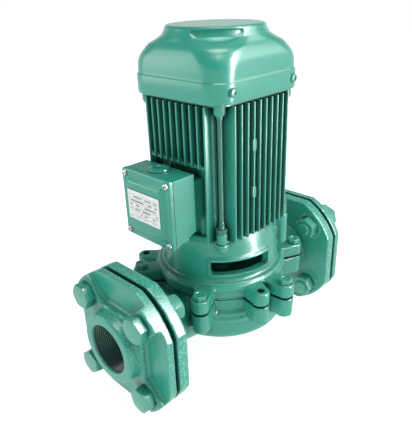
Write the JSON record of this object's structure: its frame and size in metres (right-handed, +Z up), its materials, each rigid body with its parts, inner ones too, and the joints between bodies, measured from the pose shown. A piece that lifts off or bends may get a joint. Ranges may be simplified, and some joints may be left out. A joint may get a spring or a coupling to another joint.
{
  "type": "in-line centrifugal water pump",
  "caption": "Vertical in-line centrifugal water pump: flanged volute casing, lantern, finned motor with fan cowl and side terminal box, threaded companion flanges.",
  "frame": {"origin": "on the motor axis, level with the bottom flats of the pipe flanges", "axes": "+Z up along the motor axis, X along the pipe axis with the suction port at -X, terminal box on the -X side"},
  "size_m": [0.336, 0.207, 0.366],
  "materials": {
    "green_enamel_casting": "glossy green enamel over a sand casting",
    "green_enamel_gloss": "smooth high gloss green enamel",
    "gasket_rubber": "matt dark sheet gasket",
    "bright_steel": "bright zinc or ground steel",
    "ground_shaft_steel": "fine ground",
    "lamination_steel": "stacked sheet edges",
    "varnished_copper": "varnished winding",
    "bare_cast_iron": "as cast",
    "seal_ceramic": "lapped ceramic",
    "black_plastic": "moulded",
    "label_white": "blank printed plate"
  },
  "bodies": {
    "pump": {"pump_body": "green_enamel_casting", "lantern": "green_enamel_casting", "motor_frame": "green_enamel_casting", "upper_end_shield": "green_enamel_casting", "companion_flange_near": "green_enamel_casting", "companion_flange_far": "green_enamel_casting", "terminal_box": "green_enamel_casting", "cable_entry_plug": "green_enamel_casting", "fan_cowl": "green_enamel_gloss", "terminal_box_lid": "green_enamel_gloss", "pipe_gasket_near": "gasket_rubber", "flange_bolt_near_1": "green_enamel_casting", "flange_bolt_near_2": "green_enamel_casting", "flange_bolt_near_3": "green_enamel_casting", "flange_bolt_near_4": "green_enamel_casting", "pipe_gasket_far": "gasket_rubber", "flange_bolt_far_1": "green_enamel_casting", "flange_bolt_far_2": "green_enamel_casting", "flange_bolt_far_3": "green_enamel_casting", "flange_bolt_far_4": "green_enamel_casting", "casing_gasket": "gasket_rubber", "lid_gasket": "gasket_rubber", "casing_bolt_1": "green_enamel_casting", "casing_bolt_2": "green_enamel_casting", "casing_bolt_3": "green_enamel_casting", "casing_bolt_4": "green_enamel_casting", "casing_bolt_5": "green_enamel_casting", "casing_bolt_6": "green_enamel_casting", "tie_rod_1": "green_enamel_casting", "cowl_screw_1": "green_enamel_gloss", "lid_screw_1": "bright_steel", "tie_rod_2": "green_enamel_casting", "cowl_screw_2": "green_enamel_gloss", "lid_screw_2": "bright_steel", "tie_rod_3": "green_enamel_casting", "cowl_screw_3": "green_enamel_gloss", "lid_screw_3": "bright_steel", "tie_rod_4": "green_enamel_casting", "cowl_screw_4": "green_enamel_gloss", "lid_screw_4": "bright_steel", "lower_bearing_outer_race": "bright_steel", "stator_winding_lower": "varnished_copper", "upper_bearing_outer_race": "bright_steel", "stator_winding_upper": "varnished_copper", "stator_core": "lamination_steel", "seal_seat": "seal_ceramic", "terminal_block": "black_plastic", "data_plate": "label_white"},
    "rotor": {"shaft": "ground_shaft_steel", "rotor_core": "lamination_steel", "impeller": "bare_cast_iron", "impeller_key": "bright_steel", "impeller_nut": "bright_steel", "seal_head": "black_plastic", "cooling_fan": "black_plastic", "lower_bearing_inner_race": "bright_steel", "upper_bearing_inner_race": "bright_steel"},
    "lower_ball_cage": {"lower_bearing_cage": "bright_steel"},
    "upper_ball_cage": {"upper_bearing_cage": "bright_steel"}
  },
  "joints": [
    {"name": "shaft_spin", "type": "hinge", "parent": "pump", "child": "rotor", "pos_m": [0, 0, 0.2], "axis": [0, 0, 1], "continuous": true},
    {"name": "lower_cage_spin", "type": "hinge", "parent": "pump", "child": "lower_ball_cage", "pos_m": [0, 0, 0.1555], "axis": [0, 0, 1], "continuous": true},
    {"name": "upper_cage_spin", "type": "hinge", "parent": "pump", "child": "upper_ball_cage", "pos_m": [0, 0, 0.2958], "axis": [0, 0, 1], "continuous": true}
  ],
  "couplings": [
    {"joint": "lower_cage_spin", "follows": "shaft_spin", "ratio": 0.412},
    {"joint": "upper_cage_spin", "follows": "shaft_spin", "ratio": 0.412}
  ]
}
